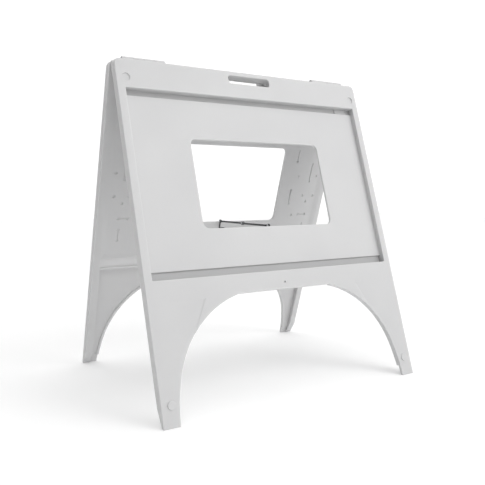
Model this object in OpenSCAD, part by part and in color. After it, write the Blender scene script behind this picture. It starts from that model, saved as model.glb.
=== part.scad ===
// Folding A-frame stand: two identical moulded panels joined by barrel hinges along the top,
// held open by a two-piece folding stay. The stand is drawn open, with its toes on z = 0,
// the hinge line above x = 0, y = 0, and the front panel facing -Y.

/* [Panels] */
// Width of a panel across its side rims
panel_w = 965; // [950:1:1000]
// Length of the outer face, from the top edge down the slant to the toe
panel_l = 1106; // [1090:1:1120]
// Lean of each panel from upright when the stand is open, in degrees
lean = 18; // [16:0.5:20]
// Depth of the side rims and of the header
rim_depth = 31; // [28:0.5:34]
// Radius of the two top corners
corner_r = 18; // [10:1:25]
// Clearance from each panel's inner face to the mid plane when folded
mid_gap = 0.5; // [0.4:0.1:1]

/* [Sign recess] */
// Width of the side rims
rim_w = 26; // [22:1:30]
// Height of the header above the sign recess
header_h = 95; // [85:1:100]
// Distance from the top edge to the lower end of the sign recess
recess_end = 696; // [690:1:705]
// Depth of the sign recess below the outer face
recess_depth = 17; // [14:0.5:19]
// Wall of the plate that the sign lies on
field_wall = 9; // [8:0.5:10]
// Height of the upper groove that takes the sign's edge
groove_top_h = 18.5; // [14:0.5:20]
// Height of the lower groove that takes the sign's edge
groove_low_h = 25.5; // [20:0.5:27]
// Depth of both grooves below the sign plate
groove_depth = 7; // [5:0.5:8]
// Wall behind the grooves, seen on the inner face as two ribs
groove_wall = 6; // [5:0.5:8]

/* [Window] */
// Distance from the top edge to the head of the window
window_top = 246; // [235:1:255]
// Height of the window
window_h = 297; // [285:1:297]
// Width of the window
window_w = 510; // [490:1:520]
// Corner radius of the window
window_r = 20; // [15:1:25]

/* [Legs] */
// Distance from the top edge to the crown of the arch
arch_top = 757; // [750:1:765]
// Half width of the arch's flat crown
crown_half = 183; // [175:1:190]
// Radius of the arch's shoulder
shoulder_r = 312; // [308:1:316]
// Radius of the arch along the lower leg
shank_r = 600; // [590:1:610]
// Thickness of the legs and of the apron above the arch
leg_depth = 18; // [16:0.5:20]
// Thickness of the toe skin
toe_depth = 10; // [8:0.5:12]
// Length of the tapered and thinned toe
toe_l = 60; // [50:1:70]
// Width of the flange down the outer side of each leg
flange_w = 26; // [20:1:30]
// Depth of the shallow facet on each leg's outer face
facet_depth = 2.5; // [1:0.5:4]

/* [Hand slot] */
// Width of the hand slot
slot_w = 167; // [150:1:180]
// Height of the hand slot
slot_h = 29; // [26:1:32]
// Distance from the top edge to the slot
slot_top = 14.5; // [14:0.5:18]
// Corner radius of the slot
slot_r = 11; // [8:1:13]

/* [Stacking studs] */
// Distance of studs and sockets from the panel's middle
stud_x = 451; // [448:1:454]
// Distance of studs and sockets from the panel's end
stud_end = 61; // [55:1:65]
// Radius of a stud
stud_r = 12; // [10:0.5:13]
// Height of a stud
stud_h = 3; // [2:0.5:4]

/* [Hinges] */
// Height of the hinge line above the panels' top edges
hinge_rise = 3; // [2:0.5:4]
// Outer radius of a knuckle
knuckle_r = 10.5; // [9.5:0.5:11]
// Length of a row of four knuckles
barrel_l = 145; // [130:1:150]
// Distance from the panel's side to its row of knuckles
barrel_inset = 37; // [36:1:50]
// Gap between neighbouring knuckles
knuckle_gap = 0.5; // [0.4:0.1:1]
// Radius of the hinge pin
pin_r = 3; // [2.5:0.25:3.5]
// Radial clearance of the pin in the knuckles
pin_fit = 0.05; // [0.03:0.01:0.08]

/* [Stay] */
// Radius of the stay rod
rod_r = 3.175; // [2.5:0.025:3.5]
// Distance from the top edge to the stay's pivots
stay_drop = 538; // [530:1:540]
// Thickness of the flattened rod ends
eye_t = 3.2; // [2.8:0.1:3.6]
// Radius of the flattened rod ends
eye_r = 6.5; // [6:0.1:7]
// Gap from each flattened end to the mid plane between the two halves
lap_gap = 1.5; // [1.4:0.1:1.8]
// Radius of the stay's pivot rivets
rivet_r = 2.4; // [2:0.1:2.6]
// Sheet thickness of the brackets
bracket_t = 2.5; // [2:0.1:2.6]
// Width of a bracket's base plate
bracket_w = 24; // [20:1:30]
// Height of a bracket's base plate
bracket_h = 38; // [34:1:44]

/* [Hidden] */
$fn = 96;
over = 1;

half_w = panel_w / 2;
// the outer face lies this far in front of the hinge line, so the folded panels just miss
face_out = rim_depth + mid_gap;
stand_h = panel_l * cos(lean);
axis_z = stand_h + hinge_rise;
// the outer face's top edge below the hinge line, measured down the slant
top_drop = (hinge_rise + face_out * sin(lean)) / cos(lean);
field_in = face_out - recess_depth - field_wall;
groove_floor = face_out - recess_depth - groove_depth;
// the shoulder's arc leaves the flat crown at crown_angle and meets the shank's at shank_angle
crown_angle = 13.6;
shank_angle = 75;
crown_rise = 2.5;
arch_x = crown_half - shoulder_r * sin(crown_angle);
arch_y = arch_top + crown_rise + shoulder_r * cos(crown_angle);
shank_start = arch_y - shoulder_r * cos(shank_angle);
shank_x = arch_x + (shoulder_r - shank_r) * sin(shank_angle);
shank_y = arch_y + (shank_r - shoulder_r) * cos(shank_angle);
// how far the cuts through the floor reach past the toes
past_toe = 40;
// the sloped border of the shallow relief behind the sign plate, and its depth behind the groove
slope_w = 12;
ridge_in = 4;
rib_w = 7;
zone_start = half_w - barrel_inset - barrel_l;
zone_margin = 8;
knuckle_l = (barrel_l - 3 * knuckle_gap) / 4;
knuckle_step = knuckle_l + knuckle_gap;
clear_r = knuckle_r + 1;
knuckle_root = 3;
pin_bore_r = pin_r + pin_fit;
pivot_y = -top_drop - stay_drop;
stay_half_l = -pivot_y * sin(lean);
stay_z = axis_z + pivot_y * cos(lean);
rod_x = lap_gap + rod_r;
ear_x = lap_gap + eye_t + 0.3;
ear_r = 6;
// the flat behind each eye, from its hole to where the rod is round, and its run onto the rod
eye_flat = 15;
eye_run = 6;
plate_top = stay_drop + 28;
stem_l = 30;
stem_t = 4.8;
screw_x = -(ear_x + bracket_w / 2 + 1);
screw_drops = [plate_top + 9, plate_top + bracket_h - 9];
screw_r = 2;
screw_hole_r = 2.05;
screw_bite = 6;
screw_head_r = 4;
screw_head_t = 1.9;
cross_l = 4.6;
cross_w = 0.9;
cross_depth = 0.8;
blow_hole_drop = 735;
blow_hole_r = 3;
lip_w = 9;
lip_h = 4;
pin_head_r = 6;
pin_head_t = 3;
pin_gap = 0.5;
pin_tail = 5;
clip_t = 3;
clip_fit = 0.02;
rivet_fit = 0.05;
rivet_head_r = 4.5;
rivet_head_t = 1.7;
rivet_tail_r = 4;

// ---- placing ----

// lays a panel's own frame on the front slope: x across, y up the slant, z outwards
module on_front() {
    translate([0, 0, axis_z]) rotate([90 - lean, 0, 0]) children();
}

// the same on the back slope, turned half a turn about the upright
module on_back() {
    rotate([0, 0, 180]) on_front() children();
}

// moves down the slant by v from the outer face's top edge
module down(v) {
    translate([0, -top_drop - v, 0]) children();
}

module mirrored() {
    children();
    mirror([1, 0, 0]) children();
}

// ---- panel outlines, drawn flat, with y = 0 on the hinge line ----

module rounded_rect(w, h, r) {
    hull() for (x = [-1, 1], y = [-1, 1])
        translate([x * (w / 2 - r), y * (h / 2 - r)]) circle(r);
}

// a band across the panel between two distances down the slant
module band(w, v0, v1) {
    translate([-w / 2, -top_drop - v1]) square([w, v1 - v0]);
}

// the arch's right half: the shoulder's arc, then the shank's wider one
module arch_side() {
    intersection() {
        translate([arch_x, -top_drop - arch_y]) circle(shoulder_r, $fn = 180);
        translate([0, -top_drop - panel_l]) square([panel_w, panel_l - arch_top]);
    }
    intersection() {
        translate([shank_x, -top_drop - shank_y]) circle(shank_r, $fn = 360);
        translate([0, -top_drop - panel_l - past_toe]) square([panel_w, panel_l + past_toe - shank_start]);
    }
}

module arch_outline() {
    mirrored() arch_side();
    band(2 * crown_half, arch_top, panel_l + past_toe);
}

module panel_outline() {
    difference() {
        band(panel_w, -past_toe, panel_l + past_toe);
        arch_outline();
    }
}

// ---- panel cuts ----

// the horizontal top, the rounded top corners and the flat toes, cut square to the floor
module standing_outline() {
    rotate([90, 0, 0]) linear_extrude(panel_l * 2, center = true) union() {
        translate([-half_w, 0]) square([panel_w, stand_h - corner_r]);
        translate([-half_w + corner_r, 0]) square([panel_w - 2 * corner_r, stand_h]);
        mirrored() translate([half_w - corner_r, stand_h - corner_r]) circle(corner_r);
    }
}

module sign_recess() {
    inside = panel_w - 2 * rim_w;
    translate([0, 0, face_out - recess_depth]) linear_extrude(recess_depth + over)
        band(inside, header_h, recess_end);
    translate([0, 0, groove_floor]) linear_extrude(groove_depth + over) {
        band(inside, header_h, header_h + groove_top_h);
        band(inside, recess_end - groove_low_h, recess_end);
    }
}

module window_cut() {
    down(window_top + window_h / 2) linear_extrude(3 * face_out, center = true)
        rounded_rect(window_w, window_h, window_r);
}

module hand_slot() {
    down(slot_top + slot_h / 2) linear_extrude(3 * face_out, center = true)
        rounded_rect(slot_w, slot_h, slot_r);
}

// thins the inner side: behind the sign plate and its lower groove, then behind apron and legs
module inner_relief() {
    inside = panel_w - 2 * rim_w;
    leg_inside = panel_w - 2 * flange_w;
    top = header_h + groove_top_h + groove_wall;
    ridge = recess_end - groove_low_h;
    low = recess_end + groove_wall;
    hull() {
        linear_extrude(2 * mid_gap, center = true) band(inside, top, ridge - groove_wall);
        linear_extrude(2 * field_in, center = true)
            band(inside - 2 * slope_w, top + slope_w, ridge - groove_wall - slope_w);
    }
    linear_extrude(2 * ridge_in, center = true) band(inside, ridge, low);
    linear_extrude(2 * (face_out - leg_depth), center = true)
        band(leg_inside, low + rib_w, panel_l + past_toe);
    linear_extrude(2 * (face_out - leg_depth + lip_h), center = true) difference() {
        band(leg_inside, low + rib_w + lip_w, panel_l + past_toe);
        offset(delta = lip_w) arch_outline();
    }
}

// the toes: thinner skin, and the side flange tapering towards the floor
module toe_relief() {
    reach = 100;
    flange_end = toe_depth + 3;
    linear_extrude(2 * (face_out - toe_depth), center = true)
        band(panel_w - 2 * flange_w, panel_l - 0.6 * toe_l, panel_l + past_toe);
    taper = atan((rim_depth - flange_end) / toe_l);
    down(panel_l - toe_l) translate([0, 0, mid_gap]) rotate([-taper, 0, 0])
        translate([-half_w - over, -2 * reach, -reach]) cube([panel_w + 2 * over, 2 * reach, reach]);
}

// a shallow three-sided facet, deepest at its upper inner corner
module leg_facet() {
    top = -top_drop - arch_top - 3;
    inner_u = 292;
    outer_u = 440;
    hull() {
        translate([0, 0, face_out]) linear_extrude(over)
            polygon([[inner_u, top], [outer_u, top], [outer_u - 15, top - 255]]);
        translate([inner_u + 9, top - 7, face_out - facet_depth]) cube([2, 2, over]);
    }
}

module knuckle_clearance() {
    mirrored() translate([zone_start - zone_margin, 0, 0]) rotate([0, 90, 0])
        cylinder(h = barrel_l + 2 * zone_margin, r = clear_r);
}

// ---- panel additions ----

module knuckle(x) {
    root = clear_r + knuckle_root;
    translate([x, 0, 0]) difference() {
        union() {
            rotate([0, 90, 0]) cylinder(h = knuckle_l, r = knuckle_r);
            translate([0, -root, mid_gap + 0.1]) cube([knuckle_l, root - knuckle_root, root]);
        }
        translate([-over, 0, 0]) rotate([0, 90, 0]) cylinder(h = knuckle_l + 2 * over, r = pin_bore_r);
    }
}

module knuckles() {
    for (i = [0, 2]) {
        knuckle(zone_start + i * knuckle_step);
        knuckle(-zone_start - barrel_l + i * knuckle_step);
    }
}

module studs() {
    mirrored() down(panel_l - stud_end) translate([stud_x, 0, face_out - over])
        cylinder(h = stud_h + over, r = stud_r);
}

module stud_sockets() {
    play = 0.5;
    mirrored() down(stud_end) translate([stud_x, 0, face_out - stud_h - play])
        cylinder(h = stud_h + play + over, r = stud_r + 2 * play);
}

// a small stop that keeps the sign from sliding along the upper groove
module groove_stop() {
    stop_u = 405;
    stop_l = 50;
    stop_t = 5;
    down(header_h + groove_top_h / 2) translate([stop_u, 0, groove_floor - over + stop_t / 2])
        cube([stop_l, groove_top_h + 2 * over, stop_t], center = true);
}

// the moulding's blow hole, on the middle of the apron
module blow_hole() {
    depth = 6;
    down(blow_hole_drop) translate([0, 0, face_out - depth])
        cylinder(h = depth + over, r = blow_hole_r);
}

module screw_holes() {
    for (v = screw_drops) down(v) translate([screw_x, 0, field_in - over])
        cylinder(h = screw_bite + over, r = screw_hole_r);
}

module panel_body() {
    intersection() {
        difference() {
            translate([0, 0, mid_gap]) linear_extrude(rim_depth) panel_outline();
            sign_recess();
            window_cut();
            hand_slot();
            inner_relief();
            toe_relief();
            mirrored() leg_facet();
            knuckle_clearance();
            stud_sockets();
            blow_hole();
            screw_holes();
        }
        rotate([lean - 90, 0, 0]) translate([0, 0, -axis_z]) standing_outline();
    }
    groove_stop();
    studs();
}

module panel() {
    panel_body();
    knuckles();
}

module front_panel() {
    color([0.93, 0.93, 0.93]) on_front() panel();
}

module back_panel() {
    color([0.93, 0.93, 0.93]) on_back() panel();
}

// ---- hinge pins, one along each row of knuckles, with a head outside and a clip inside ----

// side is -1 for the left pin and 1 for the right one
module hinge_pin(side) {
    color([0.45, 0.46, 0.48]) translate([0, 0, axis_z]) mirror([side < 0 ? 1 : 0, 0, 0])
        rotate([0, 90, 0]) {
            translate([0, 0, zone_start - pin_tail]) cylinder(h = barrel_l + pin_tail + over, r = pin_r);
            translate([0, 0, zone_start + barrel_l + pin_gap]) cylinder(h = pin_head_t, r = pin_head_r);
        }
}

module pin_clip(side) {
    color([0.3, 0.31, 0.33]) translate([0, 0, axis_z]) mirror([side < 0 ? 1 : 0, 0, 0])
        translate([zone_start - pin_gap - clip_t, 0, 0]) rotate([0, 90, 0]) difference() {
            cylinder(h = clip_t, r = pin_head_r);
            translate([0, 0, -over]) cylinder(h = clip_t + 2 * over, r = pin_r + clip_fit);
        }
}

module hinge_pin_left() { hinge_pin(-1); }
module hinge_pin_right() { hinge_pin(1); }
module pin_clip_left() { pin_clip(-1); }
module pin_clip_right() { pin_clip(1); }

// ---- folding stay: each half runs level from a bracket to the middle, where they lap ----

module stay_eye(y) {
    translate([-lap_gap - eye_t, y, 0]) rotate([0, 90, 0]) cylinder(h = eye_t, r = eye_r);
}

module eye_hole(y) {
    translate([-lap_gap - eye_t - over, y, 0]) rotate([0, 90, 0])
        cylinder(h = eye_t + 2 * over, r = rivet_r + rivet_fit);
}

// the front half: a round rod flattened to an eye at each end, beside the mid plane
module stay_half() {
    tab = eye_flat + eye_run;
    translate([0, 0, stay_z]) difference() {
        union() {
            translate([-rod_x, -stay_half_l + eye_flat, 0]) rotate([-90, 0, 0])
                cylinder(h = stay_half_l - 2 * eye_flat, r = rod_r);
            for (y = [-stay_half_l, 0]) {
                stay_eye(y);
            }
            for (y = [-stay_half_l, -tab]) {
                translate([-lap_gap - eye_t, y, -rod_r]) cube([eye_t, tab, 2 * rod_r]);
            }
        }
        eye_hole(-stay_half_l);
        eye_hole(0);
    }
}

module stay_front_half() {
    color([0.25, 0.26, 0.28]) stay_half();
}

module stay_back_half() {
    color([0.25, 0.26, 0.28]) rotate([0, 0, 180]) stay_half();
}

// the middle rivet is in two: the head's end stays with the front half, the tail's with the back
module stay_rivet_head() {
    seat = lap_gap + eye_t;
    color([0.5, 0.51, 0.53]) translate([0, 0, stay_z]) rotate([0, 90, 0]) {
        translate([0, 0, -seat - 0.05]) mirror([0, 0, 1]) cylinder(h = rivet_head_t, r = rivet_head_r);
        translate([0, 0, -seat - 0.1]) cylinder(h = eye_t + over, r = rivet_r);
    }
}

module stay_rivet_tail() {
    seat = lap_gap + eye_t;
    color([0.5, 0.51, 0.53]) translate([0, 0, stay_z]) rotate([0, 90, 0]) {
        translate([0, 0, seat + 0.05]) cylinder(h = rivet_head_t, r = rivet_tail_r);
        translate([0, 0, lap_gap + 0.1]) cylinder(h = eye_t, r = rivet_r);
    }
}

// the washer that keeps the two halves apart, carried by the front half
module stay_spacer() {
    spacer_r = 5.5;
    color([0.5, 0.51, 0.53]) translate([0, 0, stay_z]) rotate([0, 90, 0]) difference() {
        translate([0, 0, -lap_gap + 0.02]) cylinder(h = 2 * lap_gap - 0.5, r = spacer_r);
        translate([0, 0, -lap_gap - over]) cylinder(h = 2 * (lap_gap + over), r = rivet_r + rivet_fit);
    }
}

// a base plate on the panel's inner face, with an ear that reaches up past the sill
module stay_bracket() {
    ear_out = ear_x + bracket_t;
    difference() {
        union() {
            down(plate_top + bracket_h) translate([-ear_x - bracket_w, 0, field_in - bracket_t])
                cube([bracket_w, bracket_h, bracket_t]);
            down(plate_top + ear_r) translate([-ear_out, 0, mid_gap + 0.1])
                cube([bracket_t, stem_l, stem_t]);
            translate([-ear_out, pivot_y, 0]) rotate([0, 90, 0]) cylinder(h = bracket_t, r = ear_r);
            translate([-ear_out, pivot_y - ear_r, -over]) cube([bracket_t, ear_r, stem_t]);
        }
        translate([-ear_out - over, pivot_y, 0]) rotate([0, 90, 0])
            cylinder(h = bracket_t + 2 * over, r = rivet_r + rivet_fit);
        for (v = screw_drops) down(v) translate([screw_x, 0, -over])
            cylinder(h = field_in + 2 * over, r = screw_hole_r);
    }
}

// the rivet through a bracket's ear and its half of the stay
module bracket_rivet() {
    ear_out = ear_x + bracket_t;
    translate([0, pivot_y, 0]) rotate([0, 90, 0]) {
        translate([0, 0, -ear_out - rivet_head_t - 0.05]) cylinder(h = rivet_head_t, r = rivet_head_r);
        translate([0, 0, -ear_out - 0.1]) cylinder(h = ear_out - lap_gap + 0.5, r = rivet_r);
        translate([0, 0, -lap_gap + 0.3]) cylinder(h = lap_gap - 0.6, r = rivet_tail_r);
    }
}

// two pan-head screws with a cross recess
module bracket_screws() {
    for (v = screw_drops) down(v) translate([screw_x, 0, field_in - bracket_t]) difference() {
        union() {
            translate([0, 0, -screw_head_t]) cylinder(h = screw_head_t, r = screw_head_r);
            translate([0, 0, -0.1]) cylinder(h = bracket_t + screw_bite - 0.1, r = screw_r);
        }
        translate([0, 0, -screw_head_t]) for (a = [0, 90])
            rotate([0, 0, a]) cube([cross_l, cross_w, 2 * cross_depth], center = true);
    }
}

module stay_bracket_front() { color([0.3, 0.31, 0.33]) on_front() stay_bracket(); }
module stay_bracket_back() { color([0.3, 0.31, 0.33]) on_back() stay_bracket(); }
module bracket_rivet_front() { color([0.5, 0.51, 0.53]) on_front() bracket_rivet(); }
module bracket_rivet_back() { color([0.5, 0.51, 0.53]) on_back() bracket_rivet(); }
module bracket_screws_front() { color([0.5, 0.51, 0.53]) on_front() bracket_screws(); }
module bracket_screws_back() { color([0.5, 0.51, 0.53]) on_back() bracket_screws(); }

front_panel();
back_panel();
hinge_pin_left();
hinge_pin_right();
pin_clip_left();
pin_clip_right();
stay_front_half();
stay_back_half();
stay_rivet_head();
stay_rivet_tail();
stay_spacer();
stay_bracket_front();
stay_bracket_back();
bracket_rivet_front();
bracket_rivet_back();
bracket_screws_front();
bracket_screws_back();
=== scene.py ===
import math
import bmesh
import bpy
from mathutils import Matrix, Vector
from mathutils.geometry import delaunay_2d_cdt


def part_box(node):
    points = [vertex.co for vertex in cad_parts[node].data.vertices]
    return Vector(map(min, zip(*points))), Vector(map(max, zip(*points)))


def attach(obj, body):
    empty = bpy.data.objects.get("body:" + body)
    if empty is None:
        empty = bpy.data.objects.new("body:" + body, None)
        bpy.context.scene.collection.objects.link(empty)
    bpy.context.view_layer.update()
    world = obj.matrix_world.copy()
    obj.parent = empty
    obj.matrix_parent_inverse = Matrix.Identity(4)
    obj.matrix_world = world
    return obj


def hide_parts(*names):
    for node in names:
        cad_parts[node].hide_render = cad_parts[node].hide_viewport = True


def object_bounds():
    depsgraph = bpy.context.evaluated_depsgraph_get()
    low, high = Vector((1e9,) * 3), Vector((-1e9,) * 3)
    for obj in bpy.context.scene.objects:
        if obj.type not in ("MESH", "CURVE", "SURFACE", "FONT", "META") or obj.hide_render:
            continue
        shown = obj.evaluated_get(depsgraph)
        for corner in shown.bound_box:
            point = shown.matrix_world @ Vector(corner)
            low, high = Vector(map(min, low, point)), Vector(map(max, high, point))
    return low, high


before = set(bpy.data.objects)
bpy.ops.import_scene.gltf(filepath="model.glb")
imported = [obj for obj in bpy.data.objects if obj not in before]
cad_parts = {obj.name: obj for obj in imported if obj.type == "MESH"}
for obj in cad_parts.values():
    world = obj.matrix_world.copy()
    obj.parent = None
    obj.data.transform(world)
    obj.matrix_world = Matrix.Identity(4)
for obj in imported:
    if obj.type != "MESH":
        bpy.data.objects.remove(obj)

cad_box = [list(corner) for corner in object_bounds()]
scene = bpy.context.scene

# ---- Studio ----
# A plain pale floor under a white sky that dims towards the stand's left end, and one broad
# soft light from the front right. The camera stands off the stand's left front corner.
stand_w = cad_box[1][0] - cad_box[0][0]

camera_azimuth = math.radians(31.74)
camera_tilt = math.radians(-4.99)
camera = bpy.data.objects.new("camera", bpy.data.cameras.new("camera"))
camera.location = Vector((-1.1487, -1.8553, 0.6682)) * stand_w
camera.rotation_euler = (math.pi / 2 + camera_tilt, 0, -camera_azimuth)
camera.data.lens = 43.5
camera.data.clip_end = 100
scene.collection.objects.link(camera)
scene.camera = camera

scene.view_settings.view_transform = "Standard"
scene.view_settings.look = "None"

sky = bpy.data.worlds.new("studio")
sky.use_nodes = True
sky_light = sky.node_tree.nodes["Background"]
sky_light.inputs["Color"].default_value = (1, 1, 1, 1)
sky_direction = sky.node_tree.nodes.new("ShaderNodeTexCoord")
sky_facing = sky.node_tree.nodes.new("ShaderNodeVectorMath")
sky_facing.operation = "DOT_PRODUCT"
sky_facing.inputs[1].default_value = Vector((0.84, 0.05, 0.60)).normalized()
sky_fall = sky.node_tree.nodes.new("ShaderNodeMapRange")
sky_fall.inputs["From Min"].default_value = -0.6
sky_fall.inputs["From Max"].default_value = 0.12
sky_fall.inputs["To Min"].default_value = 0.0
sky_fall.inputs["To Max"].default_value = 1.12
sky.node_tree.links.new(sky_direction.outputs["Generated"], sky_facing.inputs[0])
sky.node_tree.links.new(sky_facing.outputs["Value"], sky_fall.inputs["Value"])
sky_behind = sky.node_tree.nodes.new("ShaderNodeLightPath")
sky_strength = sky.node_tree.nodes.new("ShaderNodeMath")
sky_strength.operation = "MAXIMUM"
sky.node_tree.links.new(sky_fall.outputs["Result"], sky_strength.inputs[0])
sky.node_tree.links.new(sky_behind.outputs["Is Camera Ray"], sky_strength.inputs[1])
sky.node_tree.links.new(sky_strength.outputs["Value"], sky_light.inputs["Strength"])
scene.world = sky

light_aim = Vector((0, 0, 0.5))


def soft_light(name, place, size, power):
    """A round light panel of a given width, turned towards the middle of the stand."""
    light = bpy.data.objects.new(name, bpy.data.lights.new(name, "AREA"))
    light.data.shape = "DISK"
    light.data.size = size
    light.data.energy = power
    light.location = place
    aim = light_aim - light.location
    light.rotation_euler = aim.to_track_quat("-Z", "Y").to_euler()
    scene.collection.objects.link(light)


soft_light("key", Vector((1.8, -2.6, 3.0)), 2.4, 33)

floor_reach = 12
floor_mesh = bpy.data.meshes.new("floor")
floor_turns = ((-1, -1), (1, -1), (1, 1), (-1, 1))
floor_corners = [(x * floor_reach, y * floor_reach, 0) for x, y in floor_turns]
floor_mesh.from_pydata(floor_corners, [], [(0, 1, 2, 3)])
studio_floor = bpy.data.objects.new("floor", floor_mesh)
scene.collection.objects.link(studio_floor)
floor_paint = bpy.data.materials.new("floor_paint")
floor_paint.use_nodes = True
matt_floor = floor_paint.node_tree.nodes["Principled BSDF"]
matt_floor.inputs["Base Color"].default_value = (0.97, 0.97, 0.97, 1)
matt_floor.inputs["Roughness"].default_value = 0.9
matt_floor.inputs["Emission Color"].default_value = (1, 1, 1, 1)
matt_floor.inputs["Emission Strength"].default_value = 0.05
floor_mesh.materials.append(floor_paint)


# ---- Moulded panels ----
# Two identical white polyethylene mouldings, each blown in one piece with its rims, legs and
# hinge knuckles. The wall follows the mould, so edges and corners carry a small radius.
# Lengths are in metres; a panel's own frame runs across, up its slant and out of its face.
lean = math.radians(18)
hinge_height = sum(corner[2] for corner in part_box("hinge_pin_left")) / 2
hinge_rise = 0.003
face_out = 0.0315
face_top = (hinge_rise + face_out * math.sin(lean)) / math.cos(lean)
stud_drop = 0.061
stud_across = 0.451
panel_length = 1.106
panel_edge_radius = 0.0024
panel_edge_steps = 3
smallest_facet = 0.0004
stud_reach = 0.015
sharp_fold = math.radians(28)
flat_fold = math.radians(0.5)
large_face = 5e-4


def panel_place(side):
    """From a panel's own frame, across, up the slant and outwards, to where it stands."""
    turn = Matrix.Rotation(0 if side == "front" else math.pi, 4, "Z")
    return turn @ Matrix.Translation((0, 0, hinge_height)) @ Matrix.Rotation(math.pi / 2 - lean, 4, "X")


def near_stud(spot):
    """Whether a point in a panel's own frame lies on a stacking stud or in its socket."""
    drops = (stud_drop, panel_length - stud_drop)
    away = [math.hypot(abs(spot.x) - stud_across, spot.y + face_top + drop) for drop in drops]
    return min(away) < stud_reach


def finished_mesh(piece):
    """The piece with its modifiers worked into its mesh."""
    bpy.context.view_layer.update()
    made = bpy.data.meshes.new_from_object(piece.evaluated_get(bpy.context.evaluated_depsgraph_get()))
    piece.modifiers.clear()
    piece.data = made
    return made


def merged_copy(node, name, merge):
    """A closed copy of a CAD node's mesh, without its shortest facets."""
    shape = bmesh.new()
    shape.from_mesh(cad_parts[node].data)
    for reach in (1e-5, merge):
        bmesh.ops.remove_doubles(shape, verts=shape.verts, dist=reach)
    bmesh.ops.dissolve_degenerate(shape, edges=shape.edges, dist=1e-5)
    mesh = bpy.data.meshes.new(name)
    shape.to_mesh(mesh)
    shape.free()
    piece = bpy.data.objects.new(name, mesh)
    scene.collection.objects.link(piece)
    return piece


def fill_outlines(mesh):
    """Divides every many-sided flat face into triangles that stay inside its outline."""
    shape = bmesh.new()
    shape.from_mesh(mesh)
    for face in [face for face in shape.faces if len(face.verts) > 4 or face.calc_area() > large_face]:
        flat = face.normal.to_track_quat("Z", "Y").to_matrix()
        start = face.verts[0].co.copy()
        corners = list(face.verts)
        outline = [(flat.transposed() @ (corner.co - start)).to_2d() for corner in corners]
        order = [list(range(len(outline)))]
        points, _, triangles, sources, _, _ = delaunay_2d_cdt(outline, [], order, 1, 1e-6)
        used = []
        for point, source in zip(points, sources):
            used.append(corners[source[0]] if source else shape.verts.new(start + flat @ point.to_3d()))
        shape.faces.remove(face)
        for triangle in triangles:
            trio = [used[number] for number in triangle]
            if len(set(trio)) == 3 and not shape.faces.get(trio):
                shape.faces.new(trio).smooth = True
    bmesh.ops.remove_doubles(shape, verts=shape.verts, dist=1e-6)
    shape.normal_update()
    shape.to_mesh(mesh)
    shape.free()


def round_edges(piece, radius, steps, seams, weight):
    """Opens flat faces along the seams and rounds the sharp edges by radius times weight."""
    shape = bmesh.new()
    shape.from_mesh(piece.data)
    for point, normal in seams:
        cut = bmesh.ops.bisect_plane(shape, geom=shape.verts[:] + shape.edges[:] + shape.faces[:],
                                     dist=1e-6, plane_co=point, plane_no=normal)
        for item in cut["geom_cut"]:
            if isinstance(item, bmesh.types.BMEdge):
                item.seam = True
    bmesh.ops.dissolve_limit(shape, angle_limit=flat_fold, verts=shape.verts,
                             edges=shape.edges, delimit={"SEAM"})
    share = shape.edges.layers.float.new("bevel_weight_edge")
    for edge in shape.edges:
        if edge.is_manifold and edge.calc_face_angle() > sharp_fold:
            edge[share] = weight((edge.verts[0].co + edge.verts[1].co) / 2)
    shape.to_mesh(piece.data)
    shape.free()
    for face in piece.data.polygons:
        face.use_smooth = True
    bevel = piece.modifiers.new("edge radius", "BEVEL")
    bevel.width = radius
    bevel.segments = steps
    bevel.limit_method = "WEIGHT"
    bevel.use_clamp_overlap = False
    bevel.miter_outer = "MITER_ARC"
    finished_mesh(piece)
    fill_outlines(piece.data)
    even = piece.modifiers.new("flat faces", "WEIGHTED_NORMAL")
    even.keep_sharp = True
    finished_mesh(piece)


# kiss-off dimples pressed into the inner skin, where the two walls are fused together:
# distance from the middle, distance down from the top edge, length, and 1 where it lies level
dimple_slots = [(0.319, 0.272, 0.054, 0), (0.397, 0.340, 0.084, 0), (0.314, 0.443, 0.068, 0),
                (0.402, 0.581, 0.050, 0), (0.389, 0.519, 0.046, 1)]
dimple_dots = [(0.338, 0.355), (0.428, 0.355), (0.428, 0.437),
               (0.376, 0.437), (0.398, 0.462), (0.338, 0.522)]
dimple_radius = 0.006
dimple_bar = 0.0055
dimple_depth = 0.0028
inner_skin = 0.0055


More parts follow.
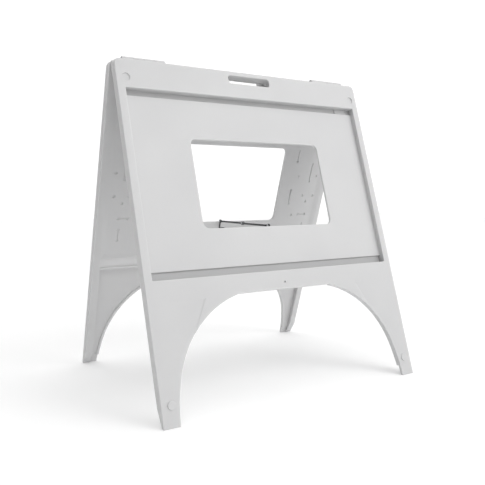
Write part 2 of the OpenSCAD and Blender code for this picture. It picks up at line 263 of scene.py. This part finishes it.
def dimple_tool(side):
    """Pins and bars that stand on the inner skin, one pin at each end of a slot."""
    pins, bars = [], []
    for hand in (-1, 1):
        pins += [(hand * u, -face_top - v, 0) for u, v in dimple_dots]
        for u, v, length, level in dimple_slots:
            along = Vector((1, 0, 0)) if level else Vector((0, 1, 0))
            middle = Vector((hand * u, -face_top - v, 0))
            half = along * (length / 2 - dimple_radius)
            pins += [middle - half, middle + half]
            bars.append((middle, length - 2 * dimple_radius, 0 if level else math.pi / 2))
    mesh = bpy.data.meshes.new("dimple_places")
    mesh.from_pydata(pins + [bar[0] for bar in bars], [], [])
    reach = mesh.attributes.new("reach", "FLOAT", "POINT")
    turn = mesh.attributes.new("turn", "FLOAT", "POINT")
    for number, bar in enumerate(bars, len(pins)):
        reach.data[number].value = bar[1]
        turn.data[number].value = bar[2]
    tool = bpy.data.objects.new("dimple_tool", mesh)
    scene.collection.objects.link(tool)

    tree = bpy.data.node_groups.new("dimple_tool", "GeometryNodeTree")
    made = {}
    for label, kind in (("Places", "NodeSocketGeometry"), ("Pin Radius", "NodeSocketFloat"),
                        ("Bar Width", "NodeSocketFloat"), ("Depth", "NodeSocketFloat"),
                        ("Material", "NodeSocketMaterial")):
        made[label] = tree.interface.new_socket(label, in_out="INPUT", socket_type=kind)
    tree.interface.new_socket("Tool", in_out="OUTPUT", socket_type="NodeSocketGeometry")
    build = tree.nodes.new
    link = tree.links.new
    given = build("NodeGroupInput")
    result = build("NodeGroupOutput")
    named = {}
    for label in ("reach", "turn"):
        named[label] = build("GeometryNodeInputNamedAttribute")
        named[label].data_type = "FLOAT"
        named[label].inputs["Name"].default_value = label
    is_bar = build("FunctionNodeCompare")
    is_bar.operation = "GREATER_THAN"
    link(named["reach"].outputs["Attribute"], is_bar.inputs["A"])
    is_bar.inputs["B"].default_value = 0.001
    split = build("GeometryNodeSeparateGeometry")
    link(given.outputs["Places"], split.inputs["Geometry"])
    link(is_bar.outputs["Result"], split.inputs["Selection"])
    pin = build("GeometryNodeMeshCylinder")
    pin.inputs["Vertices"].default_value = 20
    link(given.outputs["Pin Radius"], pin.inputs["Radius"])
    link(given.outputs["Depth"], pin.inputs["Depth"])
    block = build("GeometryNodeMeshCube")
    block_size = build("ShaderNodeCombineXYZ")
    block_size.inputs["X"].default_value = 1.0
    link(given.outputs["Bar Width"], block_size.inputs["Y"])
    link(given.outputs["Depth"], block_size.inputs["Z"])
    link(block_size.outputs["Vector"], block.inputs["Size"])
    put_pins = build("GeometryNodeInstanceOnPoints")
    link(split.outputs["Inverted"], put_pins.inputs["Points"])
    link(pin.outputs["Mesh"], put_pins.inputs["Instance"])
    put_bars = build("GeometryNodeInstanceOnPoints")
    bar_scale = build("ShaderNodeCombineXYZ")
    link(named["reach"].outputs["Attribute"], bar_scale.inputs["X"])
    bar_scale.inputs["Y"].default_value = 1.0
    bar_scale.inputs["Z"].default_value = 1.0
    bar_turn = build("ShaderNodeCombineXYZ")
    link(named["turn"].outputs["Attribute"], bar_turn.inputs["Z"])
    link(split.outputs["Selection"], put_bars.inputs["Points"])
    link(block.outputs["Mesh"], put_bars.inputs["Instance"])
    link(bar_scale.outputs["Vector"], put_bars.inputs["Scale"])
    link(bar_turn.outputs["Vector"], put_bars.inputs["Rotation"])
    together = build("GeometryNodeJoinGeometry")
    link(put_pins.outputs["Instances"], together.inputs["Geometry"])
    link(put_bars.outputs["Instances"], together.inputs["Geometry"])
    real = build("GeometryNodeRealizeInstances")
    link(together.outputs["Geometry"], real.inputs["Geometry"])
    finish = build("GeometryNodeSetMaterial")
    link(real.outputs["Geometry"], finish.inputs["Geometry"])
    link(given.outputs["Material"], finish.inputs["Material"])
    link(finish.outputs["Geometry"], result.inputs["Tool"])

    press = tool.modifiers.new("dimples", "NODES")
    press.node_group = tree
    press[made["Pin Radius"].identifier] = dimple_radius
    press[made["Bar Width"].identifier] = dimple_bar
    press[made["Depth"].identifier] = 2 * dimple_depth
    press[made["Material"].identifier] = white_hdpe
    finished_mesh(tool).transform(panel_place(side) @ Matrix.Translation((0, 0, inner_skin)))
    return tool


def grain_group():
    """Fine grain of a blasted mould or a rolled surface, and broad faint blotches."""
    group = bpy.data.node_groups.new("surface_grain", "ShaderNodeTree")
    for label, start in (("Grain Size", 0.001), ("Blotch Size", 0.3)):
        socket = group.interface.new_socket(label, in_out="INPUT", socket_type="NodeSocketFloat")
        socket.default_value = start
    for label in ("Height", "Blotch"):
        group.interface.new_socket(label, in_out="OUTPUT", socket_type="NodeSocketFloat")
    place = group.nodes.new("ShaderNodeTexCoord")
    given = group.nodes.new("NodeGroupInput")
    result = group.nodes.new("NodeGroupOutput")
    for size, out, detail in (("Grain Size", "Height", 2.0), ("Blotch Size", "Blotch", 3.0)):
        rate = group.nodes.new("ShaderNodeMath")
        rate.operation = "DIVIDE"
        rate.inputs[0].default_value = 1.0
        group.links.new(given.outputs[size], rate.inputs[1])
        noise = group.nodes.new("ShaderNodeTexNoise")
        noise.inputs["Detail"].default_value = detail
        group.links.new(place.outputs["Object"], noise.inputs["Vector"])
        group.links.new(rate.outputs[0], noise.inputs["Scale"])
        group.links.new(noise.outputs["Fac"], result.inputs[out])
    return group


def scuff_group():
    """Thin rubbed streaks and chips: 1 on a mark, 0 on clean surface."""
    group = bpy.data.node_groups.new("handling_scuffs", "ShaderNodeTree")
    for label, start in (("Streak Length", 0.06), ("Streak Width", 0.0015), ("Amount", 0.1)):
        socket = group.interface.new_socket(label, in_out="INPUT", socket_type="NodeSocketFloat")
        socket.default_value = start
    group.interface.new_socket("Mask", in_out="OUTPUT", socket_type="NodeSocketFloat")
    place = group.nodes.new("ShaderNodeTexCoord")
    given = group.nodes.new("NodeGroupInput")
    result = group.nodes.new("NodeGroupOutput")
    masks = []
    for tilt in (0.5, 2.1):
        spin = group.nodes.new("ShaderNodeVectorRotate")
        spin.rotation_type = "EULER_XYZ"
        spin.inputs["Rotation"].default_value = (tilt, 0.4 * tilt, tilt)
        group.links.new(place.outputs["Object"], spin.inputs["Vector"])
        parts = []
        for size in ("Streak Length", "Streak Width", "Streak Width"):
            rate = group.nodes.new("ShaderNodeMath")
            rate.operation = "DIVIDE"
            rate.inputs[0].default_value = 1.0
            group.links.new(given.outputs[size], rate.inputs[1])
            parts.append(rate)
        scale = group.nodes.new("ShaderNodeCombineXYZ")
        for axis, rate in zip("XYZ", parts):
            group.links.new(rate.outputs[0], scale.inputs[axis])
        stretch = group.nodes.new("ShaderNodeVectorMath")
        stretch.operation = "MULTIPLY"
        group.links.new(spin.outputs["Vector"], stretch.inputs[0])
        group.links.new(scale.outputs["Vector"], stretch.inputs[1])
        noise = group.nodes.new("ShaderNodeTexNoise")
        noise.inputs["Scale"].default_value = 1.0
        noise.inputs["Detail"].default_value = 1.0
        group.links.new(stretch.outputs["Vector"], noise.inputs["Vector"])
        ramp = group.nodes.new("ShaderNodeMapRange")
        ramp.inputs["From Min"].default_value = 0.69
        ramp.inputs["From Max"].default_value = 0.76
        group.links.new(noise.outputs["Fac"], ramp.inputs["Value"])
        masks.append(ramp.outputs["Result"])
    both = group.nodes.new("ShaderNodeMath")
    both.operation = "MAXIMUM"
    group.links.new(masks[0], both.inputs[0])
    group.links.new(masks[1], both.inputs[1])
    amount = group.nodes.new("ShaderNodeMath")
    amount.operation = "MULTIPLY"
    group.links.new(both.outputs[0], amount.inputs[0])
    group.links.new(given.outputs["Amount"], amount.inputs[1])
    group.links.new(amount.outputs[0], result.inputs["Mask"])
    return group


surface_grain = grain_group()
handling_scuffs = scuff_group()


def finish_of(name, colour, blotch_colour, scuff_colour, grain, scuffs, roughness, bump):
    """A material from a base colour, faint blotches, rubbed marks and a fine grain."""
    material = bpy.data.materials.new(name + "_finish")
    material.use_nodes = True
    tree = material.node_tree
    shader = tree.nodes["Principled BSDF"]
    grains = tree.nodes.new("ShaderNodeGroup")
    grains.node_tree = surface_grain
    grains.inputs["Grain Size"].default_value = grain[0]
    grains.inputs["Blotch Size"].default_value = grain[1]
    marks = tree.nodes.new("ShaderNodeGroup")
    marks.node_tree = handling_scuffs
    marks.inputs["Streak Length"].default_value = scuffs[0]
    marks.inputs["Streak Width"].default_value = scuffs[1]
    marks.inputs["Amount"].default_value = scuffs[2]
    spread = tree.nodes.new("ShaderNodeMapRange")
    spread.inputs["From Min"].default_value = 0.35
    spread.inputs["From Max"].default_value = 0.65
    tree.links.new(grains.outputs["Blotch"], spread.inputs["Value"])
    tint = tree.nodes.new("ShaderNodeMix")
    tint.data_type = "RGBA"
    tint.inputs["A"].default_value = (*colour, 1)
    tint.inputs["B"].default_value = (*blotch_colour, 1)
    tree.links.new(spread.outputs["Result"], tint.inputs["Factor"])
    rubbed = tree.nodes.new("ShaderNodeMix")
    rubbed.data_type = "RGBA"
    rubbed.inputs["B"].default_value = (*scuff_colour, 1)
    tree.links.new(marks.outputs["Mask"], rubbed.inputs["Factor"])
    tree.links.new(tint.outputs["Result"], rubbed.inputs["A"])
    tree.links.new(rubbed.outputs["Result"], shader.inputs["Base Color"])
    sheen = tree.nodes.new("ShaderNodeMapRange")
    sheen.inputs["From Min"].default_value = 0.3
    sheen.inputs["From Max"].default_value = 0.7
    sheen.inputs["To Min"].default_value = roughness[0]
    sheen.inputs["To Max"].default_value = roughness[1]
    tree.links.new(grains.outputs["Blotch"], sheen.inputs["Value"])
    tree.links.new(sheen.outputs["Result"], shader.inputs["Roughness"])
    relief = tree.nodes.new("ShaderNodeBump")
    relief.inputs["Strength"].default_value = bump[0]
    relief.inputs["Distance"].default_value = bump[1]
    tree.links.new(grains.outputs["Height"], relief.inputs["Height"])
    tree.links.new(relief.outputs["Normal"], shader.inputs["Normal"])
    return material


def dress(piece, node, body, finish):
    """Gives a finished piece its one material and its body, and hides the CAD node it stands for."""
    piece.data.materials.clear()
    piece.data.materials.append(finish)
    for face in piece.data.polygons:
        face.material_index = 0
    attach(piece, body)
    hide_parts(node)


# milky polyethylene that lets a little light in, with painted shade: the sign grooves' colour is darkened
# to stand for the shade that falls in them
white_hdpe = finish_of("white_hdpe", (0.60, 0.60, 0.602), (0.58, 0.58, 0.584), (0.47, 0.47, 0.465),
                       (0.0008, 0.35), (0.09, 0.0012, 0.35), (0.42, 0.52), (0.25, 0.0002))
milky_plastic = white_hdpe.node_tree.nodes["Principled BSDF"]
milky_plastic.inputs["IOR"].default_value = 1.5
milky_plastic.inputs["Subsurface Weight"].default_value = 0.5
milky_plastic.inputs["Subsurface Radius"].default_value = (1.0, 1.0, 1.0)
milky_plastic.inputs["Subsurface Scale"].default_value = 0.012
# painted shade: a vertex attribute marks the sign grooves, and their colour is mixed towards dark grey to
# stand for the shade in them
groove_shade_reader = white_hdpe.node_tree.nodes.new("ShaderNodeAttribute")
groove_shade_reader.attribute_name = "painted_groove_shade"
groove_shade_mix = white_hdpe.node_tree.nodes.new("ShaderNodeMix")
groove_shade_mix.data_type = "RGBA"
groove_shade_mix.inputs["B"].default_value = (0.44, 0.44, 0.443, 1)
unshaded_colour = milky_plastic.inputs["Base Color"].links[0].from_socket
white_hdpe.node_tree.links.new(groove_shade_reader.outputs["Fac"], groove_shade_mix.inputs["Factor"])
white_hdpe.node_tree.links.new(unshaded_colour, groove_shade_mix.inputs["A"])
white_hdpe.node_tree.links.new(groove_shade_mix.outputs["Result"], milky_plastic.inputs["Base Color"])

# flat faces are opened along lines through every hole, so that each stays a simple outline
screw_across = 0.0193
seam_places = [screw_across, 0.319, 0.338, 0.376, 0.397, 0.428]

# how much of the panels' edge radius each zone of edges takes, and where the zones lie
knuckle_share, rib_share, leg_back_share, stud_share = 0.25, 0.6, 0.4, 0.35
dimple_rim_share = 0.2
knuckle_reach = 0.016
dimple_zone_across, dimple_zone_up = (0.3, 0.44), (-0.62, -0.24)
rib_zone_up, rib_zone_out = (-0.73, -0.66), 0.006
leg_back_below, leg_back_out = -0.712, 0.0275
stud_depth = 0.005
past_face = 0.0005
on_skin = 0.0002
# the sign grooves that carry painted shade: their spans down from the top edge, and their span outwards
# in the panel's frame
groove_zones = ((0.0945, 0.114), (0.67, 0.6965))
groove_zone_out = (0.007, 0.0142)


def edge_share(spot):
    """The share of the edge radius for an edge whose middle is at a spot in the panel's frame."""
    if math.hypot(spot.y, spot.z) < knuckle_reach:
        return knuckle_share
    across_dimples = dimple_zone_across[0] < abs(spot.x) < dimple_zone_across[1]
    up_dimples = dimple_zone_up[0] < spot.y < dimple_zone_up[1]
    if across_dimples and up_dimples and spot.z < inner_skin + dimple_depth + past_face:
        return dimple_rim_share if spot.z < inner_skin + on_skin else 0
    if rib_zone_up[0] < spot.y < rib_zone_up[1] and spot.z < rib_zone_out:
        return rib_share
    if spot.y < leg_back_below and spot.z < leg_back_out:
        return leg_back_share
    on_stud = spot.z > face_out - stud_depth and near_stud(spot)
    return stud_share if spot.z > face_out + past_face or on_stud else 1.0


def painted_shade_share(spot):
    """1 where shade is painted into the colour, on the floor and lower walls of a sign groove, and 0
    elsewhere.
    """
    down = -spot.y - face_top
    in_groove = any(upper < down < lower for upper, lower in groove_zones)
    return 1.0 if in_groove and groove_zone_out[0] < spot.z < groove_zone_out[1] else 0.0


for side in ("front", "back"):
    skin = merged_copy(side + "_panel", side + "_panel_skin", smallest_facet)
    press = dimple_tool(side)
    pressed = skin.modifiers.new("dimples", "BOOLEAN")
    pressed.operation = "DIFFERENCE"
    pressed.solver = "EXACT"
    pressed.use_self = True
    pressed.object = press
    finished_mesh(skin)
    bpy.data.objects.remove(press)
    place = panel_place(side)
    to_panel = place.inverted()
    slant = place.to_3x3() @ Vector((0, 1, 0))
    seams = [((0, 0, 0), (0, 1, 0)), ((0, 0, 0), (1, 0, 0))]
    seams += [((hand * across, 0, 0), (1, 0, 0)) for across in seam_places for hand in (1, -1)]
    seams += [(place @ Vector((0, -face_top - down, 0)), slant)
              for down in (stud_drop, panel_length - stud_drop)]
    round_edges(skin, panel_edge_radius, panel_edge_steps, seams,
                lambda middle: edge_share(to_panel @ middle))
    # painted shade: each vertex in a sign groove gets 1, which darkens its colour to stand for the shade
    # there
    painted_shade_values = skin.data.attributes.new("painted_groove_shade", "FLOAT", "POINT")
    for point, share in zip(skin.data.vertices, painted_shade_values.data):
        share.value = painted_shade_share(to_panel @ point.co)
    dress(skin, side + "_panel", side + "_frame", white_hdpe)


# ---- Hinge pins and clips ----
# Two zinc-plated steel pins, headed on the outer end and pushed through a row of knuckles.
# A dark grey push-on clip of spring steel grips each pin's inner end.
small_edge_steps = 2


def hardware(node, name, body, finish, radius, seams=()):
    """A small steel part from its CAD node, with its sharp edges eased."""
    piece = merged_copy(node, name, 1e-5)
    round_edges(piece, radius, small_edge_steps, seams, lambda middle: 1.0)
    dress(piece, node, body, finish)


zinc_steel = finish_of("zinc_steel", (0.60, 0.61, 0.63), (0.52, 0.54, 0.57), (0.72, 0.72, 0.73),
                       (0.0004, 0.006), (0.004, 0.0002, 0.5), (0.26, 0.42), (0.2, 0.00005))
zinc_steel.node_tree.nodes["Principled BSDF"].inputs["Metallic"].default_value = 1.0
spring_steel = finish_of("spring_steel", (0.24, 0.24, 0.245), (0.29, 0.29, 0.295), (0.34, 0.34, 0.35),
                         (0.0004, 0.005), (0.003, 0.0002, 0.6), (0.30, 0.45), (0.2, 0.00005))
spring_steel.node_tree.nodes["Principled BSDF"].inputs["Metallic"].default_value = 1.0

through_bores = ((0, 0, 0), (0, 1, 0))
pin_edge_radius = 0.0006
clip_edge_radius = 0.0004
for end in ("left", "right"):
    hardware("hinge_pin_" + end, "hinge_pin_steel_" + end, "front_frame", zinc_steel, pin_edge_radius)
    hardware("pin_clip_" + end, "push_on_clip_" + end, "front_frame", spring_steel, clip_edge_radius,
             [through_bores])


# ---- Folding stay ----
# Two dark steel rods, each flattened and drilled at both ends. They lap side by side on a
# rivet in the middle, kept apart by a plain washer, and fold upwards as the stand closes.
dark_steel = finish_of("dark_steel", (0.045, 0.047, 0.05), (0.065, 0.066, 0.068), (0.20, 0.20, 0.20),
                       (0.0006, 0.02), (0.012, 0.0003, 0.6), (0.30, 0.48), (0.3, 0.00006))
dark_steel.node_tree.nodes["Principled BSDF"].inputs["Metallic"].default_value = 0.75

rod_radius = 0.003175
rod_across = 0.004675
eye_radius = 0.0065
eye_half_t = 0.0016
eye_across = 0.0031
eye_squareness = 5
forged_from = 0.012
forged_to = 0.021
rivet_hole = 0.00245
rod_sides = 32
rod_crease = math.radians(38)
washer_edge_radius = 0.0003
stay_height = sum(corner[2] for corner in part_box("stay_spacer")) / 2
through_eyes = ((0, 0, stay_height), (0, 0, 1))


def rod_section(reach):
    """Distance across, half thickness, half height and squareness, at a reach from an eye's middle."""
    part = min(1.0, max(0.0, (reach - forged_from) / (forged_to - forged_from)))
    roundness = part * part * (3 - 2 * part)
    across = eye_across + (rod_across - eye_across) * roundness
    half_t = eye_half_t + (rod_radius - eye_half_t) * roundness
    bulge = math.sqrt(max(0.0, eye_radius ** 2 - reach ** 2))
    half_h = max(rod_radius, bulge) if reach > 0 else bulge
    return across, half_t, half_h, eye_squareness - (eye_squareness - 2) * roundness


def rod_outline(low, high):
    """Each section's place along a rod from eye to eye, with its reach from the nearer eye's middle."""
    eye_turns = [math.pi / 2 * step / 9 for step in range(1, 10)]
    reaches = [-eye_radius * math.cos(turn) for turn in eye_turns]
    reaches += [eye_radius * math.sin(turn) for turn in eye_turns] + [0.008]
    reaches += [forged_from + (forged_to - forged_from) * step / 6 for step in range(7)]
    near = [(low + reach, reach) for reach in reaches]
    far = [(high - reach, reach) for reach in reversed(reaches)]
    straight = high - low - 2 * forged_to
    return near + [(low + forged_to + straight * part / 8, forged_to) for part in range(1, 8)] + far


def drilled(rod, along):
    """Drills a rivet's hole through a rod's eye."""
    shape = bmesh.new()
    stand = Matrix.Translation((-eye_across, along, stay_height)) @ Matrix.Rotation(math.pi / 2, 4, "Y")
    bmesh.ops.create_cone(shape, cap_ends=True, segments=rod_sides, radius1=rivet_hole,
                          radius2=rivet_hole, depth=4 * rod_radius, matrix=stand)
    drill = bpy.data.objects.new("drill", bpy.data.meshes.new("drill"))
    shape.to_mesh(drill.data)
    shape.free()
    scene.collection.objects.link(drill)
    bore = rod.modifiers.new("bore", "BOOLEAN")
    bore.operation = "DIFFERENCE"
    bore.solver = "EXACT"
    bore.object = drill
    finished_mesh(rod)
    bpy.data.objects.remove(drill)


def stay_rod(name, low, high):
    """A round rod from eye to eye, flattened and spread at both ends, on the left of the mid plane."""
    shape = bmesh.new()
    rings = []
    for along, reach in rod_outline(low, high):
        across, half_t, half_h, squareness = rod_section(reach)
        ring = []
        for step in range(rod_sides):
            turn = 2 * math.pi * step / rod_sides
            side, up = math.cos(turn), math.sin(turn)
            x = -across + half_t * math.copysign(abs(side) ** (2 / squareness), side)
            z = stay_height + half_h * math.copysign(abs(up) ** (2 / squareness), up)
            ring.append(shape.verts.new((x, along, z)))
        rings.append(ring)
    for ring, after in zip(rings, rings[1:]):
        for step in range(rod_sides):
            shape.faces.new((ring[step], ring[step - 1], after[step - 1], after[step]))
    shape.faces.new(rings[0])
    shape.faces.new(reversed(rings[-1]))
    bmesh.ops.recalc_face_normals(shape, faces=shape.faces)
    rod = bpy.data.objects.new(name, bpy.data.meshes.new(name))
    shape.to_mesh(rod.data)
    shape.free()
    scene.collection.objects.link(rod)
    drilled(rod, low)
    drilled(rod, high)
    rod.data.shade_smooth()
    rod.data.set_sharp_from_angle(angle=rod_crease)
    return rod


half_low, half_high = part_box("stay_front_half")
for side in ("front", "back"):
    rod = stay_rod("stay_rod_" + side, half_low[1] + eye_radius, half_high[1] - eye_radius)
    if side == "back":
        rod.data.transform(Matrix.Rotation(math.pi, 4, "Z"))
    dress(rod, "stay_" + side + "_half", side + "_stay", dark_steel)
hardware("stay_spacer", "stay_washer", "front_stay", zinc_steel, washer_edge_radius, [through_eyes])


# ---- Brackets ----
# Folded sheet-steel brackets, one on each panel's inner skin below the window, with an ear
# that reaches up past the sill to hold the stay's end.
sheet_edge_radius = 0.0005
for side, hand in (("front", -1), ("back", 1)):
    through_screws = ((hand * screw_across, 0, 0), (1, 0, 0))
    hardware("stay_bracket_" + side, "sheet_bracket_" + side, side + "_frame", dark_steel,
             sheet_edge_radius, [through_eyes, through_screws])


# ---- Rivets and screws ----
# Domed zinc-plated rivets set through the stay's eyes and the brackets' ears, and two
# cross-recessed pan-head screws that bite into the moulding through each bracket.
fastener_sizes = ("Head Radius", "Head Edge", "Dome", "Shank Radius", "Shank Length",
                  "Cross Length", "Cross Width", "Cross Depth")


def fastener_tree(name, recessed):
    """Geometry nodes for a domed head on a plain shank, standing up along z at every place."""
    tree = bpy.data.node_groups.new(name, "GeometryNodeTree")
    labels = [("Places", "NodeSocketGeometry"), ("Material", "NodeSocketMaterial")]
    labels += [(label, "NodeSocketFloat") for label in fastener_sizes]
    for label, kind in labels:
        tree.interface.new_socket(label, in_out="INPUT", socket_type=kind)
    tree.interface.new_socket("Fasteners", in_out="OUTPUT", socket_type="NodeSocketGeometry")
    link = tree.links.new
    given = tree.nodes.new("NodeGroupInput").outputs

    def calc(operation, *values):
        node = tree.nodes.new("ShaderNodeMath")
        node.operation = operation
        for socket, value in zip(node.inputs, values):
            if isinstance(value, (int, float)):
                socket.default_value = value
            else:
                link(value, socket)
        return node.outputs[0]

    def moved_up(mesh, height):
        lift = tree.nodes.new("ShaderNodeCombineXYZ")
        link(height, lift.inputs["Z"])
        moved = tree.nodes.new("GeometryNodeSetPosition")
        link(mesh, moved.inputs["Geometry"])
        link(lift.outputs["Vector"], moved.inputs["Offset"])
        return moved.outputs["Geometry"]

    def round_bar(radius, depth, rings):
        bar = tree.nodes.new("GeometryNodeMeshCylinder")
        bar.inputs["Vertices"].default_value = 40
        bar.inputs["Fill Segments"].default_value = rings
        link(radius, bar.inputs["Radius"])
        link(depth, bar.inputs["Depth"])
        return bar.outputs["Mesh"]

    position = tree.nodes.new("GeometryNodeInputPosition")
    spot = tree.nodes.new("ShaderNodeSeparateXYZ")
    link(position.outputs["Position"], spot.inputs["Vector"])
    across = calc("ADD", calc("MULTIPLY", spot.outputs["X"], spot.outputs["X"]),
                  calc("MULTIPLY", spot.outputs["Y"], spot.outputs["Y"]))
    radius_squared = calc("MULTIPLY", given["Head Radius"], given["Head Radius"])
    inward = calc("SUBTRACT", 1.0, calc("DIVIDE", across, radius_squared))
    crown = calc("MULTIPLY", given["Dome"], inward)
    bulge = calc("MULTIPLY", crown, calc("GREATER_THAN", spot.outputs["Z"], 0.0))
    head = round_bar(given["Head Radius"], given["Head Edge"], 6)
    head = moved_up(head, calc("ADD", bulge, calc("MULTIPLY", given["Head Edge"], 0.5)))
    shank = round_bar(given["Shank Radius"], given["Shank Length"], 1)
    shank = moved_up(shank, calc("MULTIPLY", given["Shank Length"], -0.49))
    if recessed:
        recess = tree.nodes.new("GeometryNodeMeshBoolean")
        recess.operation = "DIFFERENCE"
        recess.solver = "EXACT"
        link(head, recess.inputs["Mesh 1"])
        for long_way, short_way in (("X", "Y"), ("Y", "X")):
            size = tree.nodes.new("ShaderNodeCombineXYZ")
            link(given["Cross Length"], size.inputs[long_way])
            link(given["Cross Width"], size.inputs[short_way])
            link(calc("MULTIPLY", given["Cross Depth"], 2.0), size.inputs["Z"])
            slot = tree.nodes.new("GeometryNodeMeshCube")
            link(size.outputs["Vector"], slot.inputs["Size"])
            top = calc("ADD", given["Head Edge"], given["Dome"])
            link(moved_up(slot.outputs["Mesh"], top), recess.inputs["Mesh 2"])
        head = recess.outputs["Mesh"]
    whole = tree.nodes.new("GeometryNodeJoinGeometry")
    link(head, whole.inputs["Geometry"])
    link(shank, whole.inputs["Geometry"])
    placed = tree.nodes.new("GeometryNodeInstanceOnPoints")
    link(given["Places"], placed.inputs["Points"])
    link(whole.outputs["Geometry"], placed.inputs["Instance"])
    real = tree.nodes.new("GeometryNodeRealizeInstances")
    link(placed.outputs["Instances"], real.inputs["Geometry"])
    plated = tree.nodes.new("GeometryNodeSetMaterial")
    link(real.outputs["Geometry"], plated.inputs["Geometry"])
    link(given["Material"], plated.inputs["Material"])
    link(plated.outputs["Geometry"], tree.nodes.new("NodeGroupOutput").inputs["Fasteners"])
    return tree


def fasteners(tree, places, sizes, stand):
    """The mesh of one fastener at each place, then turned and moved by stand."""
    points = bpy.data.meshes.new(tree.name + "_places")
    points.from_pydata(places, [], [])
    holder = bpy.data.objects.new(tree.name, points)
    scene.collection.objects.link(holder)
    build = holder.modifiers.new("build", "NODES")
    build.node_group = tree
    inputs = [item for item in tree.interface.items_tree if item.in_out == "INPUT"]
    sockets = {item.name: item.identifier for item in inputs}
    build[sockets["Material"]] = zinc_steel
    for label, size in sizes.items():
        build[sockets[label]] = size
    made = finished_mesh(holder)
    made.transform(stand)
    bpy.data.objects.remove(holder)
    return made


def joined(name, meshes):
    """One piece from several meshes."""
    shape = bmesh.new()
    for mesh in meshes:
        shape.from_mesh(mesh)
    bmesh.ops.remove_doubles(shape, verts=shape.verts, dist=1e-6)
    whole = bpy.data.meshes.new(name)
    shape.to_mesh(whole)
    shape.free()
    piece = bpy.data.objects.new(name, whole)
    scene.collection.objects.link(piece)
    return piece


domed_rivet = fastener_tree("domed_rivet", False)
cross_screw = fastener_tree("cross_screw", True)
rivet_radius = 0.0024
rivet_head = {"Head Radius": 0.0045, "Head Edge": 0.0006, "Dome": 0.0011, "Shank Radius": rivet_radius}
flat_tail = {"Head Radius": 0.004, "Head Edge": 0.0005, "Dome": 0.0004, "Shank Radius": rivet_radius}
domed_tail = {**flat_tail, "Dome": 0.0011}
eye_seat = 0.0047
ear_seat = 0.0075
lap_seat = -0.0012
head_shank = 0.0042
tail_shank = 0.0031
ear_shank = 0.0062
lap_shank = 0.0001
point_left = Matrix.Rotation(-math.pi / 2, 4, "Y")
point_right = Matrix.Rotation(math.pi / 2, 4, "Y")


def rivet_end(sizes, seat, shank, place, facing):
    """A rivet's head or tail, seated at the distance seat from the mid plane."""
    stand = Matrix.Translation(place) @ facing @ Matrix.Translation((0, 0, seat))
    return fasteners(domed_rivet, [(0, 0, 0)], {**sizes, "Shank Length": shank}, stand)


middle = Vector((0, 0, stay_height))
head_end = joined("middle_rivet_head", [rivet_end(rivet_head, eye_seat, head_shank, middle, point_left)])
dress(head_end, "stay_rivet_head", "front_stay", zinc_steel)
tail_end = joined("middle_rivet_tail", [rivet_end(domed_tail, eye_seat, tail_shank, middle, point_right)])
dress(tail_end, "stay_rivet_tail", "back_stay", zinc_steel)

screw_sizes = {"Head Radius": 0.004, "Head Edge": 0.0008, "Dome": 0.0011, "Shank Radius": 0.002,
               "Shank Length": 0.0083, "Cross Length": 0.0046, "Cross Width": 0.0009,
               "Cross Depth": 0.0008}
screw_drops = (0.575, 0.595)
bracket_face = 0.003
on_bracket = Matrix.Translation((0, 0, bracket_face)) @ Matrix.Rotation(math.pi, 4, "X")
for side in ("front", "back"):
    low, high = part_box("bracket_rivet_" + side)
    pivot = Vector((0, (low[1] + high[1]) / 2, stay_height))
    outer, inner = (point_left, point_right) if side == "front" else (point_right, point_left)
    ends = [rivet_end(rivet_head, ear_seat, ear_shank, pivot, outer),
            rivet_end(flat_tail, lap_seat, lap_shank, pivot, inner)]
    rivet = joined("bracket_rivet_domed_" + side, ends)
    dress(rivet, "bracket_rivet_" + side, side + "_frame", zinc_steel)
    screw_places = [(-screw_across, face_top + down, 0) for down in screw_drops]
    pair = fasteners(cross_screw, screw_places, screw_sizes, panel_place(side) @ on_bracket)
    screws = joined("bracket_screws_pan_" + side, [pair])
    dress(screws, "bracket_screws_" + side, side + "_frame", zinc_steel)
